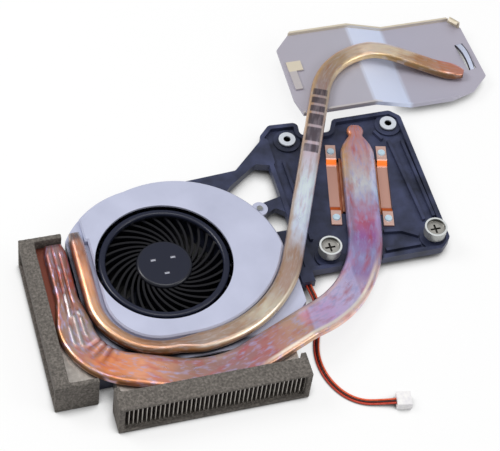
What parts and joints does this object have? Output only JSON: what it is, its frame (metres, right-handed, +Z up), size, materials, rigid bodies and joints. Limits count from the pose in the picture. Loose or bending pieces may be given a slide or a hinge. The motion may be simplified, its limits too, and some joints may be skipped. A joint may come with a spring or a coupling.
{
  "type": "laptop cooling fan heatsink",
  "caption": "Flat laptop cooler with a blower fan in a cast frame, fin stacks with foam seals, flattened heat pipes, a sprung processor bracket and a stepped chipset plate.",
  "frame": {"origin": "on the fan axis in the plane of the casting's underside", "axes": "+X towards the processor bracket along the front outlet, +Y away from the front outlet, +Z up through the fan inlet"},
  "size_m": [0.1842, 0.1573, 0.0138],
  "materials": {
    "cast_black": "satin",
    "cover_sheet": "satin",
    "rivet_steel": "satin",
    "impeller_plastic": "satin",
    "fin_metal": "satin",
    "foam": "matt open-cell foam",
    "pipe_copper": "polished",
    "pipe_gold_copper": "polished",
    "block_copper": "satin",
    "strip_copper": "satin",
    "plate_sheet": "satin",
    "screw_nickel": "satin",
    "spring_steel": "satin",
    "wire_red": "satin",
    "wire_orange": "satin",
    "wire_maroon": "satin",
    "plug_ivory": "satin",
    "contact_brass": "polished",
    "motor_steel": "satin",
    "magnet_ferrite": "matt",
    "sleeve_bronze": "matt",
    "coil_copper": "satin",
    "board_green": "satin"
  },
  "bodies": {
    "cooler": {"die_cast_frame": "cast_black", "fan_cover": "cover_sheet", "cover_rivet": "rivet_steel", "left_fin_stack": "fin_metal", "front_fin_stack": "fin_metal", "left_foam_gasket": "foam", "front_foam_gasket": "foam", "cpu_heat_pipe": "pipe_copper", "chipset_heat_pipe": "pipe_gold_copper", "cpu_cold_plate": "block_copper", "left_spring_strip": "strip_copper", "right_spring_strip": "strip_copper", "strip_rivets": "rivet_steel", "chipset_plate": "plate_sheet", "screw_spring_left": "spring_steel", "screw_spring_right": "spring_steel", "rear_eyelets": "screw_nickel", "lead_wire_red": "wire_red", "lead_wire_orange": "wire_orange", "lead_wire_black": "wire_maroon", "connector_housing": "plug_ivory", "connector_contacts": "contact_brass", "bearing_sleeve": "sleeve_bronze", "stator_core": "motor_steel", "stator_coils": "coil_copper", "fan_circuit_board": "board_green"},
    "rotor": {"impeller": "impeller_plastic", "rotor_yoke": "motor_steel", "rotor_magnet": "magnet_ferrite", "fan_shaft": "motor_steel"},
    "screw_left": {"captive_screw_left": "screw_nickel", "retaining_clip_left": "spring_steel"},
    "screw_right": {"captive_screw_right": "screw_nickel", "retaining_clip_right": "spring_steel"}
  },
  "joints": [
    {"name": "impeller_spin", "type": "hinge", "parent": "cooler", "child": "rotor", "pos_m": [0, 0, 0], "axis": [0, 0, 1], "continuous": true},
    {"name": "screw_left_press", "type": "slide", "parent": "cooler", "child": "screw_left", "axis": [0, 0, 1], "range_m": [-0.0015, 0], "stiffness_N_per_m": 1500, "springref_m": 0.002, "deforming": ["screw_spring_left"]},
    {"name": "screw_right_press", "type": "slide", "parent": "cooler", "child": "screw_right", "axis": [0, 0, 1], "range_m": [-0.0015, 0], "stiffness_N_per_m": 1500, "springref_m": 0.002, "deforming": ["screw_spring_right"]}
  ]
}
